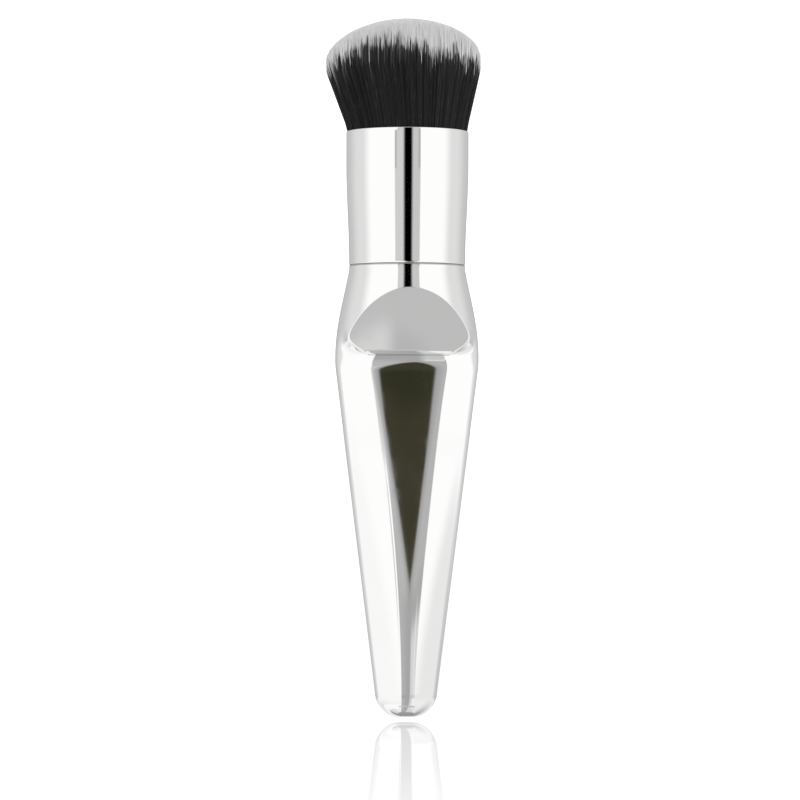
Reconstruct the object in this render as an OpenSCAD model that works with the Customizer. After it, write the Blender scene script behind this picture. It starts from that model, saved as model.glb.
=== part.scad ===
// Foundation brush with a weighted plated handle, a drawn metal ferrule and a slanted domed tuft.
// Millimetres. The origin is the middle of the butt's flat end, +Z runs towards the hair,
// and the thumb rest faces -Y.

/* [Handle] */
// Height of the handle from its butt to the seam under the ferrule
handle_len = 100; // [92:1:112]
// Diameter of the bulge, the widest place of the handle
bulge_d = 31.8; // [29:0.2:34]
// Distance from the seam down to the middle of the bulge
shoulder_h = 20.8; // [17:0.1:23]
// Diameter of the neck at the seam
neck_d = 25.7; // [25.2:0.1:26.5]
// Height of the straight band under the seam
neck_band_h = 0.8; // [0.6:0.1:1.4]
// Radius of the soft edge at the seam
seam_edge_r = 0.25; // [0.15:0.05:0.35]
// Diameter that the straight taper would reach at the butt's end
butt_d = 12.5; // [11:0.1:14]
// Height over which the butt is rounded
butt_round_h = 4.6; // [3.5:0.1:6]
// Diameter of the small flat at the butt's end
butt_flat_d = 4.4; // [3.4:0.2:5.4]
// Radius of the arc that leads the taper into the bulge
run_out_r = 22; // [16:1:60]

/* [Thumb rest] */
// Distance from the seam down to the top of the thumb rest
rest_drop = 5.3; // [4.5:0.1:6]
// Height of the slanted wall of the thumb rest
rest_h = 14.6; // [13:0.2:16]
// Slant of that wall from the handle's axis, in degrees
rest_slant = 25; // [22:0.5:27]
// Width of the long facet where it meets the slanted wall
facet_w = 18.3; // [16:0.1:20]
// Width of the long facet at the butt
facet_butt_w = 3.1; // [2:0.1:4]
// Distance from the axis to the facet at the butt
facet_butt_depth = 4.1; // [3.8:0.1:5.2]
// Half of the turn of the crowned facet from edge to edge, in degrees
facet_crown = 5; // [3:0.5:7]
// Angle round the axis from the front to the corners of the slanted wall, in degrees
rest_reach = 57; // [55:0.5:60]
// Angle by which the lower corners swell sideways between crease and side tips, in degrees
rest_belly = 4.5; // [0:0.5:6]
// Angle over which the cheek's blend widens behind those corners, in degrees
blend_reach = 14; // [10:1:20]
// Height of that blend above the facet, at the side of the handle
blend_h = 6; // [5.6:0.2:10]

/* [Core and tenon] */
// Diameter of the tenon that the ferrule is glued on
tenon_d = 24.2; // [23.8:0.1:24.4]
// Length of the tenon above the seam
tenon_len = 13; // [11:0.5:14]
// Chamfer at the tenon's end
tenon_chamfer = 0.8; // [0.4:0.1:1.2]
// Width of each glue groove round the tenon
groove_w = 1.6; // [1:0.1:2]
// Depth of each glue groove
groove_depth = 0.5; // [0.3:0.1:0.8]
// Distance from one glue groove to the next
groove_pitch = 3.4; // [2.8:0.1:3.6]
// Diameter of the wide core in the bulge
core_d = 15; // [13:0.5:16]
// Distance from the seam down to the floor of the wide core
core_drop = 12; // [10:0.5:12.5]
// Diameter of the steel rod
rod_d = 6; // [5:0.1:6.4]
// Length of the steel rod
rod_len = 60; // [50:1:62]
// Chamfer at both ends of the steel rod
rod_chamfer = 0.5; // [0.2:0.1:0.8]
// Clearance round the steel rod in its hole
rod_clear = 0.15; // [0.1:0.01:0.2]
// Height of the stopper's flange on the floor of the wide core
stopper_flange_h = 4; // [3:0.5:6]
// Length of the stopper's spigot in the rod's hole
spigot_len = 8; // [6:0.5:9]
// Wall between the stopper's cup and its side
stopper_wall = 1.6; // [1.2:0.1:2]

/* [Ferrule] */
// Length of the ferrule
ferrule_len = 29.5; // [28:0.5:34]
// Outer diameter of the ferrule's straight part
ferrule_d = 27.2; // [26.6:0.1:27.6]
// Wall thickness of the ferrule
ferrule_wall = 0.4; // [0.3:0.05:0.5]
// Height above the seam over which the ferrule widens in a soft S curve
ferrule_taper_h = 23; // [18:0.5:26]

/* [Hair] */
// Length of the longest hair outside the ferrule
hair_out = 24; // [22:0.1:28]
// Depth of the hair roots below the ferrule's rim
hair_in = 9; // [8:0.5:10]
// Clearance between hair and ferrule at the rim
hair_clear = 0.12; // [0.08:0.01:0.2]
// Diameter of the tuft at its widest
tuft_d = 34.4; // [32:0.2:37]
// Height above the rim at which the tuft is widest
flare_h = 13.6; // [12:0.1:16]
// Sideways lean of the tuft at its widest
tuft_lean = 1; // [0:0.1:1.5]
// Rise of the slanted top from the middle to the front edge
top_slant_h = 5; // [4:0.2:7]
// Rise of the top from the middle to its right edge
top_side_h = 0.3; // [0:0.1:0.8]
// Crown of the slanted top above its own edge
top_crown_h = 5.2; // [4.4:0.2:7]
// Height of the rounded shoulder under the edge of the top
shoulder_round_h = 1.6; // [1:0.2:3]
// Diameter of the bundle under the binding thread
waist_d = 24.8; // [24.2:0.1:25.2]
// Height of the bundle's waist above the roots
waist_h = 3.4; // [3:0.1:4]
// Height over which the bundle widens above its waist
waist_flare_h = 2.6; // [2:0.1:3]
// Height of the epoxy plug under the roots
plug_h = 5.5; // [4:0.5:6]
// Diameter of the binding thread
thread_d = 0.6; // [0.4:0.05:0.65]
// Distance from one turn of the thread to the next, as a share of its diameter
thread_pitch_share = 0.9; // [0.85:0.01:0.95]
// Number of turns of the thread
thread_turns = 4; // [3:1:5]

/* [Hidden] */

// Overrun of every cut past the face that it opens
over = 0.2;
// Clearance round the stopper's flange in the wide core
stopper_clear = 0.05;
$fn = 96;

// Exponent of the round front section at the butt and of the fuller one at the facet's top
section_shares = [2, 2.8];
// Exponents of the butt's rounding, the handle's shoulder, the facet's widening
// and the shoulder of the tuft
butt_share = 1.8;
shoulder_share = 1.11;
facet_share = 1.9;
tuft_edge_share = 10;
// Largest half width of the facet, as a share of the handle's radius there
facet_fit_share = 0.72;

// Mesh of the handle: columns over half the facet, a cheek and half the back
facet_cols = 4;
cheek_cols = 9;
back_cols = 13;
// Mesh of the handle: rows over butt, taper, slanted wall, shoulder and seam edge
butt_rows = 6;
taper_rows = 17;
rest_rows = 6;
shoulder_rows = 9;
seam_rows = 2;
// Mesh of the tuft: columns round it, rows up its side and rings over its top
tuft_cols = 44;
tuft_side_rows = 9;
tuft_top_rows = 9;
// Steps that find the upper edge of the thumb rest
edge_steps = 14;

// Heights along the handle
neck_z = handle_len - neck_band_h;
bulge_z = handle_len - shoulder_h;
rest_top_z = handle_len - rest_drop;
crease_z = rest_top_z - rest_h;
core_floor_z = handle_len - core_drop;
tenon_top_z = handle_len + tenon_len;
rod_z = core_floor_z - spigot_len - rod_len;
rim_z = handle_len + ferrule_len;
root_z = rim_z - hair_in;

// Radii
neck_r = neck_d / 2;
bulge_r = bulge_d / 2;
butt_r = butt_d / 2;
butt_flat_r = butt_flat_d / 2;
rod_r = rod_d / 2;
rod_hole_r = rod_r + rod_clear;
core_r = core_d / 2;
tenon_r = tenon_d / 2;
ferrule_r = ferrule_d / 2;
ferrule_bore_r = ferrule_r - ferrule_wall;
tuft_rim_r = ferrule_bore_r - hair_clear;
tuft_r = tuft_d / 2;
waist_r = waist_d / 2;

// Straight taper: the line from the butt that just touches the run-out arc
arc_mid_r = bulge_r - run_out_r;
arc_reach = norm([bulge_z, arc_mid_r - butt_r]);
taper_angle = atan2(arc_mid_r - butt_r, bulge_z) + asin(run_out_r / arc_reach);
run_out_z = bulge_z - run_out_r * sin(taper_angle);

// Thumb rest and facet where they meet
rest_slope = tan(rest_slant);
crease_depth = outline_r(rest_top_z) - rest_h * rest_slope;

function lerp(a, b, t) = a + (b - a) * t;
function clamp(t) = min(max(t, 0), 1);
function smooth(t) = let (c = clamp(t)) c * c * (3 - 2 * c);

// Radius of the handle's outline at height z, without the rounded butt
function outline_r(z) =
    z < run_out_z ? butt_r + z * tan(taper_angle)
    : z < bulge_z ? arc_mid_r + sqrt(pow(run_out_r, 2) - pow(bulge_z - z, 2))
    : z < neck_z
        ? neck_r + (bulge_r - neck_r) * sin(90 * pow((neck_z - z) / (neck_z - bulge_z), shoulder_share))
    : neck_r;

// Share of the outline that the rounded butt leaves at height z
function butt_part(z) =
    z >= butt_round_h ? 1
    : let (q = 1 - max(z, 0) / butt_round_h, r = outline_r(z))
      (butt_flat_r + (r - butt_flat_r) * pow(1 - pow(q, butt_share), 1 / butt_share)) / r;

// Radius of the round back and sides at height z
function side_r(z) = outline_r(z) * butt_part(z);

// Along the facet, as a share of the way from the butt to the crease
function facet_way(z) = clamp(z / crease_z);
function facet_depth(z) = lerp(facet_butt_depth, crease_depth, facet_way(z)) * butt_part(z);
function facet_half(z) =
    min(lerp(facet_butt_w, facet_w, pow(facet_way(z), facet_share)) / 2, facet_fit_share * side_r(z));
function crown_r(z) = facet_half(z) / sin(facet_crown);
function facet_sag(z) = pow(facet_half(z), 2) / (2 * crown_r(z));
function facet_edge(z) = atan(facet_half(z) / (facet_depth(z) - facet_sag(z)));

// Distance from the axis, in direction f from the front, of a crowned face at depth d
function crowned(f, d, r) =
    f == 0 ? d
    : let (t = pow(tan(f), 2)) r * (sqrt(1 + 2 * d * t / r) - 1) / (t * cos(f));

// Front section below the crease: a full oval through the facet's edges
function section_n(z) = lerp(section_shares[0], section_shares[1], smooth(facet_way(z)));
function oval_depth(z) =
    let (n = section_n(z))
    (facet_depth(z) - facet_sag(z)) / pow(1 - pow(facet_half(z) / side_r(z), n), 1 / n);
function oval(f, z) =
    let (n = section_n(z))
    1 / pow(pow(sin(f) / side_r(z), n) + pow(max(cos(f), 0) / oval_depth(z), n), 1 / n);

// Height at which the slanted wall leaves the bulge in direction f, by repeated correction
function edge_z(f, z = rest_top_z, k = edge_steps) =
    k == 0 ? z
    : let (r = outline_r(z),
           d = r * cos(f) + pow(r * sin(f), 2) / (2 * crown_r(crease_z)))
      edge_z(f, crease_z + (d - crease_depth) / rest_slope, k - 1);
corner_z = edge_z(rest_reach);
function wall_depth(z) = crease_depth + (z - crease_z) * rest_slope;
function wall(f, z) = crowned(f, wall_depth(z), crown_r(crease_z));

// Direction of the slanted wall's corner, from the crease (s = 0) to the side tips (1)
function corner_angle(s) = lerp(facet_edge(crease_z), rest_reach, s) + rest_belly * sin(180 * s);

// Cheek between crease and shoulder: oval below, round above. Along the wall's corner the
// blend follows the wall, and towards the side it grows evenly over its own height.
function cheek(f, z) =
    let (s = clamp((z - crease_z) / (corner_z - crease_z)),
         corner_f = corner_angle(s),
         low = oval(corner_f, z),
         meet = s == 1 ? 1 : clamp((wall(corner_f, z) - low) / (side_r(z) - low)),
         rise = smooth((z - crease_z) / blend_h))
    lerp(oval(f, z), side_r(z), lerp(meet, rise, smooth((f - corner_f) / blend_reach)));

// One corner of the handle's mesh as [angle from the front, radius, height].
// Column i runs from the middle of the facet (0) by its edge (facet_cols) to the back.
half_cols = facet_cols + cheek_cols + back_cols;
side_col = facet_cols + cheek_cols;
function column_angle(i, edge) =
    i <= facet_cols ? edge * i / facet_cols
    : i <= side_col ? lerp(edge, 90, (i - facet_cols) / cheek_cols)
    : lerp(90, 180, (i - side_col) / back_cols);
function low_point(i, z) =
    let (f = column_angle(i, facet_edge(z)))
    [f,
     i < facet_cols ? crowned(f, facet_depth(z), crown_r(z)) : i <= side_col ? oval(f, z) : side_r(z),
     z];
function edge_ring_z(i) = i < facet_cols ? edge_z(column_angle(i, rest_reach)) : corner_z;
function rest_point(i, s) =
    let (f = column_angle(i, corner_angle(s)),
         z = lerp(crease_z, edge_ring_z(i), s))
    [f, i <= facet_cols ? wall(f, z) : i <= side_col ? cheek(f, z) : side_r(z), z];
function high_point(i, s) =
    let (f = column_angle(i, rest_reach), z = lerp(edge_ring_z(i), neck_z, s))
    [f, i > facet_cols && i <= side_col ? cheek(f, z) : side_r(z), z];
function seam_point(i, s) =
    [column_angle(i, rest_reach), neck_r - seam_edge_r * (1 - cos(90 * s)),
     handle_len - seam_edge_r * (1 - sin(90 * s))];

// A ring of the mesh goes once round, from the front towards +X
function place(p) = [p[1] * sin(p[0]), -p[1] * cos(p[0]), p[2]];
function mirrored(p) = [-p[0], p[1], p[2]];
function ring(half) = concat(
    [for (i = [0:half_cols]) place(half[i])],
    [for (i = [half_cols - 1:-1:1]) mirrored(place(half[i]))]);
butt_rings = [for (j = [0:butt_rows - 1])
    let (z = butt_round_h * (1 - cos(90 * j / butt_rows)))
    ring([for (i = [0:half_cols]) low_point(i, z)])];
taper_rings = [for (j = [0:taper_rows])
    let (z = lerp(butt_round_h, crease_z, j / taper_rows))
    ring([for (i = [0:half_cols]) low_point(i, z)])];
rest_rings = [for (j = [1:rest_rows]) ring([for (i = [0:half_cols]) rest_point(i, j / rest_rows)])];
shoulder_rings = [for (j = [1:shoulder_rows])
    ring([for (i = [0:half_cols]) high_point(i, j / shoulder_rows)])];
seam_rings = [for (j = [0:seam_rows]) ring([for (i = [0:half_cols]) seam_point(i, j / seam_rows)])];
handle_rings = concat(butt_rings, taper_rings, rest_rings, shoulder_rings, seam_rings);

// Closed solid through a stack of rings with the same number of points
module loft(rings) {
    rows = len(rings);
    cols = len(rings[0]);
    sides = [for (j = [0:rows - 2], i = [0:cols - 1])
        let (a = j * cols + i, b = j * cols + (i + 1) % cols)
        each [[a, a + cols, b + cols], [a, b + cols, b]]];
    bottom = [for (i = [0:cols - 1]) i];
    top = [for (i = [cols - 1:-1:0]) (rows - 1) * cols + i];
    polyhedron(points = [for (r = rings) each r], faces = concat(sides, [bottom, top]));
}

// Round rod from height z0 to z1 with the same chamfer at both ends
module chamfered_rod(r, z0, z1, chamfer) {
    rotate_extrude()
        polygon([[0, z0], [r - chamfer, z0], [r, z0 + chamfer],
                 [r, z1 - chamfer], [r - chamfer, z1], [0, z1]]);
}

// Plated moulding: lofted grip, turned tenon with glue grooves, stepped core
module handle() {
    color([0.86, 0.87, 0.88])
    difference() {
        union() {
            loft(handle_rings);
            rotate_extrude()
                polygon([[0, neck_z], [tenon_r, neck_z], [tenon_r, tenon_top_z - tenon_chamfer],
                         [tenon_r - tenon_chamfer, tenon_top_z], [0, tenon_top_z]]);
        }
        translate([0, 0, core_floor_z])
            cylinder(r = core_r, h = core_drop + tenon_len + over);
        translate([0, 0, rod_z])
            cylinder(r = rod_hole_r, h = rod_len + spigot_len + over);
        for (k = [1:floor((tenon_len - tenon_chamfer - groove_w / 2) / groove_pitch)])
            glue_groove(handle_len + k * groove_pitch - groove_pitch / 2);
    }
}

module glue_groove(z) {
    translate([0, 0, z])
        rotate_extrude()
            polygon([[tenon_r - groove_depth, 0], [tenon_r + over, 0],
                     [tenon_r + over, groove_w], [tenon_r - groove_depth, groove_w]]);
}

// Steel rod in the narrow core
module counterweight() {
    color([0.55, 0.56, 0.58])
        chamfered_rod(rod_r, rod_z, rod_z + rod_len, rod_chamfer);
}

// Cupped plastic stopper: its flange sits on the core's floor, its spigot on the rod
module core_stopper() {
    color([0.2, 0.2, 0.21])
    rotate_extrude()
        polygon([[0, core_floor_z - spigot_len],
                 [rod_r, core_floor_z - spigot_len],
                 [rod_r, core_floor_z],
                 [core_r - stopper_clear, core_floor_z],
                 [core_r - stopper_clear, core_floor_z + stopper_flange_h],
                 [core_r - stopper_wall, core_floor_z + stopper_flange_h],
                 [core_r - stopper_wall, core_floor_z + stopper_wall],
                 [0, core_floor_z + stopper_wall]]);
}

// S curve from the ferrule's foot to its straight part, at depth d inside its outer face
foot_steps = 10;
function foot_curve(d) = [for (k = [0:foot_steps])
    let (t = k / foot_steps) [lerp(neck_r, ferrule_r, smooth(t)) - d, handle_len + t * ferrule_taper_h]];
function reversed(list) = [for (k = [len(list) - 1:-1:0]) list[k]];

// Half section of the space inside the ferrule
module bore_outline() {
    polygon(concat([[0, handle_len]], foot_curve(ferrule_wall), [[ferrule_bore_r, rim_z], [0, rim_z]]));
}

// Thin drawn tube: narrow foot on the handle's shoulder, S curve, straight part, rolled rim
module ferrule() {
    lip_r = ferrule_wall / 2;
    color([0.9, 0.9, 0.91])
    rotate_extrude()
        union() {
            polygon(concat(
                [[neck_r - lip_r, handle_len], [neck_r, handle_len + lip_r]],
                [for (k = [1:foot_steps]) foot_curve(0)[k]],
                [[ferrule_r, rim_z - lip_r], [ferrule_bore_r, rim_z - lip_r]],
                reversed(foot_curve(ferrule_wall))));
            translate([ferrule_r - lip_r, rim_z - lip_r])
                circle(r = lip_r, $fn = 24);
        }
}

// Cured glue that fills the space between tenon and ferrule
module tenon_adhesive() {
    color([0.75, 0.68, 0.45])
    rotate_extrude()
        intersection() {
            bore_outline();
            translate([tenon_r, handle_len])
                square([ferrule_r - tenon_r, tenon_len - tenon_chamfer]);
        }
}

// Cured epoxy that holds the hair roots in the ferrule
module root_plug() {
    color([0.62, 0.52, 0.3])
    rotate_extrude()
        intersection() {
            bore_outline();
            translate([0, root_z - plug_h])
                square([ferrule_r, plug_h]);
        }
}

// Thread turns pressed on the waist of the bundle
module binding_thread() {
    thread_r = thread_d / 2;
    pitch = thread_d * thread_pitch_share;
    color([0.85, 0.82, 0.74])
    rotate_extrude()
        intersection() {
            union()
                for (k = [0:thread_turns - 1])
                    translate([waist_r + thread_r / 2, root_z + thread_r + k * pitch])
                        circle(r = thread_r, $fn = 24);
            translate([waist_r, root_z])
                square([thread_d, thread_turns * thread_d]);
        }
}

// Height of the slanted, crowned top over a place [x, y] measured from the tuft's middle
crest_h = top_crown_h * pow(top_slant_h / (2 * top_crown_h), 2);
function top_z(x, y) =
    rim_z + hair_out - crest_h + (x * top_side_h - y * top_slant_h) / tuft_r
    - top_crown_h * (x * x + y * y) / pow(tuft_r, 2);
// Radius and sideways place of the tuft's side at height z
function tuft_side_r(z) = lerp(tuft_rim_r, tuft_r, clamp((z - rim_z) / flare_h));
function tuft_x(z) = -tuft_lean * clamp((z - rim_z) / flare_h);
// Height at which the side ends in direction a, with the top's edge at radius r,
// and that radius itself, by repeated correction
function brim_z(a, r) = top_z(r * sin(a), -r * cos(a)) - shoulder_round_h;
function brim_r(a, r = tuft_r, k = edge_steps) =
    k == 0 ? r : brim_r(a, tuft_side_r(brim_z(a, r)), k - 1);
function tuft_side(a, r_top, t) =
    let (z = lerp(root_z + waist_h + waist_flare_h, brim_z(a, r_top), t), r = tuft_side_r(z))
    [tuft_x(z) + r * sin(a), -r * cos(a), z];
function tuft_top(a, r_top, s) =
    let (x = r_top * s * sin(a),
         y = -r_top * s * cos(a),
         drop = shoulder_round_h * (1 - sqrt(max(1 - pow(s, tuft_edge_share), 0))))
    [x + lerp(-tuft_lean, tuft_x(brim_z(a, r_top)), s), y, top_z(x, y) - drop];

// Dense filament tuft: bound waist in the ferrule, straight flare, slanted dome
module bristle_tuft() {
    angles = [for (i = [0:tuft_cols - 1]) 360 * i / tuft_cols];
    brims = [for (a = angles) brim_r(a)];
    waist_rings = [for (z = [root_z, root_z + waist_h])
        [for (a = angles) [waist_r * sin(a), -waist_r * cos(a), z]]];
    side_rings = [for (j = [0:tuft_side_rows])
        [for (i = [0:tuft_cols - 1]) tuft_side(angles[i], brims[i], j / tuft_side_rows)]];
    top_rings = [for (j = [1:tuft_top_rows - 1])
        [for (i = [0:tuft_cols - 1])
            tuft_top(angles[i], brims[i], sin(90 * (1 - j / tuft_top_rows)))]];
    color([0.16, 0.16, 0.18])
        loft(concat(waist_rings, side_rings, top_rings));
}

handle();
counterweight();
core_stopper();
tenon_adhesive();
ferrule();
root_plug();
binding_thread();
bristle_tuft();
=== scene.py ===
import math
import bpy
import numpy as np
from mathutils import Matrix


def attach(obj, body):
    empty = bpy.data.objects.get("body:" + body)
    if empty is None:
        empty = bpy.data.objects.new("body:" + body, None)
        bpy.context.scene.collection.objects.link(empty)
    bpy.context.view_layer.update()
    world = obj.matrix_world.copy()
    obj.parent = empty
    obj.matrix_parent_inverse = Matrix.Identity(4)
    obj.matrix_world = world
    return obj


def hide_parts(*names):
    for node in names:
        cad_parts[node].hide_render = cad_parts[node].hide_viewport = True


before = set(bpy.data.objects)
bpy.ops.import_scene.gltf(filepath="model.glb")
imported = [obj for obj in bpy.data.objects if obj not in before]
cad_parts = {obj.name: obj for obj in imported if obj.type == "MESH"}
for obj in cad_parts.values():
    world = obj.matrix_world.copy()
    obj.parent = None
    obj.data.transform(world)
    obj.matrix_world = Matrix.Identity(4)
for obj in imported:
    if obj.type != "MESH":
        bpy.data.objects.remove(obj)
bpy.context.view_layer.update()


# ---- Camera
# It stands level at about half the brush's height, well back, a little to the left of
# the thumb rest's middle.
camera_turn = -3.3  # degrees round the brush, from the front towards its right
camera_distance = 0.652
camera_height = 0.0701
camera_side = -0.0015
camera_roll = -0.15


def put(name, data):
    """An object of the scene."""
    made = bpy.data.objects.new(name, data)
    bpy.context.scene.collection.objects.link(made)
    return made


camera_data = bpy.data.cameras.new("camera")
camera_data.lens = 132.3
camera_data.sensor_width = 36
camera_data.clip_start, camera_data.clip_end = 0.01, 50
camera = put("camera", camera_data)
turn = math.radians(camera_turn)
camera.location = (
    camera_distance * math.sin(turn) + camera_side * math.cos(turn),
    -camera_distance * math.cos(turn) + camera_side * math.sin(turn),
    camera_height,
)
camera.rotation_euler = (math.pi / 2, math.radians(camera_roll), turn)
bpy.context.scene.camera = camera
bpy.context.scene.view_settings.view_transform = "Standard"


# ---- Studio light
# A round white tent that light comes through evenly. Polished metal shows its parts: a
# narrow dark gap round the camera, grey panels beside it, and a greyer rear wall.
class Wire:
    """An output of a node, for plain arithmetic in a node tree."""

    def __init__(self, tree, socket):
        self.tree, self.socket = tree, socket

    def math(self, operation, *others):
        node = self.tree.nodes.new("ShaderNodeMath")
        node.operation = operation
        for place, item in zip(node.inputs, (self, *others)):
            plug(self.tree, item, place)
        return Wire(self.tree, node.outputs[0])

    def __add__(self, other):
        return self.math("ADD", other)

    __radd__ = __add__

    def __sub__(self, other):
        return self.math("SUBTRACT", other)

    def __rsub__(self, other):
        return (self - other) * -1.0

    def __mul__(self, other):
        return self.math("MULTIPLY", other)

    __rmul__ = __mul__

    def __truediv__(self, other):
        return self.math("DIVIDE", other)

    def __pow__(self, other):
        return self.math("POWER", other)

    def least(self, other):
        return self.math("MINIMUM", other)

    def most(self, other):
        return self.math("MAXIMUM", other)

    def step(self, low, high, start=0.0, end=1.0):
        """A soft step from start to end while the value goes from low to high."""
        node = self.tree.nodes.new("ShaderNodeMapRange")
        node.interpolation_type = "SMOOTHSTEP"
        names = ("Value", "From Min", "From Max", "To Min", "To Max")
        for name, item in zip(names, (self, low, high, start, end)):
            plug(self.tree, item, node.inputs[name])
        return Wire(self.tree, node.outputs["Result"])

    def within(self, low, full, fade, high):
        """1 while the value is between full and fade, and softly 0 below low and above high."""
        return self.step(low, full) * self.step(fade, high, *falling)


def plug(tree, item, place):
    if isinstance(item, Wire):
        tree.links.new(item.socket, place)
    else:
        place.default_value = item


def blend(start, end, share):
    return start + (end - start) * share


def parts(tree, socket):
    """The three parts of a vector."""
    node = tree.nodes.new("ShaderNodeSeparateXYZ")
    tree.links.new(socket, node.inputs[0])
    return [Wire(tree, part) for part in node.outputs]


def joined(tree, kind, items):
    """A vector or a colour from its parts."""
    node = tree.nodes.new("ShaderNodeCombine" + kind)
    for place, item in zip(node.inputs, items):
        plug(tree, item, place)
    return Wire(tree, node.outputs[0])


def mixed(tree, share, first, second):
    """A colour between two colours."""
    node = tree.nodes.new("ShaderNodeMix")
    node.data_type = "RGBA"
    for name, item in (("Factor", share), ("A", first), ("B", second)):
        plug(tree, item, node.inputs[name])
    return Wire(tree, node.outputs["Result"])


falling = (1.0, 0.0)  # the values of a step down
world = bpy.data.worlds.new("studio_tent")
world.use_nodes = True
tree = world.node_tree
tree.nodes.clear()
east, north, up = parts(tree, tree.nodes.new("ShaderNodeTexCoord").outputs["Generated"])
azimuth = east.math("ARCTAN2", north * -1.0).math("DEGREES") - camera_turn
side = azimuth.math("ABSOLUTE")
rise = up.math("ARCSINE").math("DEGREES")
path = tree.nodes.new("ShaderNodeLightPath")
mirror_depth = 2.5  # rays of a greater depth come by way of the table's mirror
bounced = Wire(tree, path.outputs["Ray Depth"]).math("GREATER_THAN", mirror_depth)
# Azimuth and side are degrees from the camera's direction, rise is from the horizon, and tones are
# shares of white. Names in _at hold the angles of a soft step, and often its values.
# Rear wall, greyer towards the middle, and white where the table mirrors it
rear_tone, rear_inner_tone, rear_inner_at = 0.73, 0.55, (105.0, 145.0)
rear_middle_tone, rear_middle_at = 0.38, (150.0, 172.0)
rear_side_at, rear_side_soft, rear_foot_at = (-9.0, 0.0, 104.0, 83.0), (-12.0, 12.0), (-24.0, -16.0)
patch_side_at, patch_at = (163.0, 171.0), (2.4, 4.6, 8.8, 13.0)
rear = blend(rear_tone, rear_inner_tone, side.step(*rear_inner_at))
rear = blend(rear, rear_middle_tone, side.step(*rear_middle_at))
rear_part = (side - rise.step(*rear_side_at)).step(*rear_side_soft)
tone = blend(1.0, rear, rear_part * rise.step(*rear_foot_at))
tone = blend(tone, 1.0, side.step(*patch_side_at) * rise.within(*patch_at))
# The tent's hem is greyer, on the right more than on the left, where it has a lighter band
hem_at, hem_right_at, hem_turn_at = (-68.0, -12.0, *falling), (50.0, 110.0, 0.22, 0.58), (-5.0, 5.0)
hem_left_loss, hem_side_loss, hem_rear_loss = 0.16, 0.14, 0.28
hem_side_at, hem_rear_at = (30.0, 70.0), (80.0, 125.0)
light_share, light_at = 0.8, (-60.0, -55.0, -44.0, -40.0)
hem_left = hem_left_loss + side.step(*hem_side_at) * hem_side_loss + side.step(*hem_rear_at) * hem_rear_loss
hem_left = hem_left * (1.0 - rise.within(*light_at) * light_share)
hem = blend(hem_left, side.step(*hem_right_at), azimuth.step(*hem_turn_at))
tone = tone * (1.0 - hem * rise.step(*hem_at))
# The tent's lower part loses a little more, most on the right in front, and its top is greyer
low_loss, low_right_loss = 0.05, 0.19
low_right_at, low_rear_at = (10.0, 25.0), (110.0, 150.0, *falling)
low_at, ceiling_at = (-50.0, -11.0, -10.8, -8.8), (36.0, 48.0, 1.0, 0.5)
low_shade = blend(low_loss, low_right_loss, azimuth.step(*low_right_at) * side.step(*low_rear_at))
tone = tone * (1.0 - low_shade * rise.within(*low_at))
tone = tone * rise.step(*ceiling_at)
# Grey panels in front, on both sides of the gap, wider where the thumb rest's wall looks
wall_at, high_at = (-52.0, -50.5, -46.0, -45.2), (-3.15, -2.75)
left_low_at, left_high_at = (-6.2, -5.7, -4.3, -5.8), (6.0, 8.0, -23.5, -18.5)
left_wall_end, left_mirror_end, right_wall_end, right_mirror_end = -17.0, -6.0, 32.0, 13.0
right_middle_end, right_high_end = 21.0, 24.5
right_low_at, right_low_top_at = (-72.0, -50.0, 30.0, 14.5), (-20.0, -16.0, *falling)
panel_soft, panel_soft_gain, panel_top_at = 0.6, 0.6, (38.0, 47.0, *falling)
wall_part = rise.within(*wall_at)
high_part = rise.step(*high_at)
left_end = blend(rise.step(*left_low_at), rise.step(*left_high_at), high_part)
left_end = blend(left_end, left_wall_end, wall_part)
right_end = blend(right_middle_end, right_high_end, high_part)
right_end = blend(right_end, rise.step(*right_low_at), rise.step(*right_low_top_at))
right_end = blend(right_end, right_wall_end, wall_part)
left_end = blend(left_end, left_mirror_end, bounced)
right_end = blend(right_end, right_mirror_end, bounced)
edge_soft_by = high_part * panel_soft_gain + panel_soft
past_left = ((azimuth - left_end) / edge_soft_by).step(-1.0, 1.0)
panels = past_left * ((azimuth - right_end) / edge_soft_by).step(-1.0, 1.0, *falling)
# The gap leans, narrows to a rounded foot low down and has soft sides higher up
gap_lean_at, gap_high_middle, gap_high_at = (-8.5, -4.5, 8.8, 6.4), 1.4, (-3.15, -2.65)
gap_foot_top, gap_foot_h, gap_foot_power, gap_foot_at = -4.6, 3.05, 0.86, (-7.9, -7.5)
gap_low_half, gap_high_half, gap_soft, gap_soft_gain = 7.85, 8.0, 0.55, 2.45
gap_top_at, gap_top_curve = (28.0, 28.4, *falling), 0.003
gap_high_part = rise.step(*gap_high_at)
beside = (azimuth - blend(rise.step(*gap_lean_at), gap_high_middle, gap_high_part)).math("ABSOLUTE")
foot = ((gap_foot_top - rise) / gap_foot_h).most(0.0).least(1.0)
gap_half = blend((1.0 - foot * foot) ** gap_foot_power * gap_low_half, gap_high_half, gap_high_part)
gap = ((beside - gap_half) / (gap_high_part * gap_soft_gain + gap_soft)).step(-1.0, 1.0, *falling)
gap_top = (rise + beside * beside * gap_top_curve).step(*gap_top_at)
gap = gap * rise.step(*gap_foot_at) * gap_top * (1.0 - bounced)
# The panels' high part, darker at its two borders
high_tone, high_right_tone, high_right_at, border_tone = 0.62, 0.57, (5.0, 12.0), 0.43
left_border_w, right_border_w, border_soft, border_at = 4.0, 5.0, (0.6, 1.0, *falling), (2.2, 2.6, 8.0, 12.0)
high_grey = blend(high_tone, high_right_tone, azimuth.step(*high_right_at))
left_border = ((azimuth - left_end) / left_border_w).step(*border_soft)
border = left_border + ((right_end - azimuth) / right_border_w).step(*border_soft)
high_grey = blend(high_grey, border_tone, border.least(1.0) * rise.within(*border_at))
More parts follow.
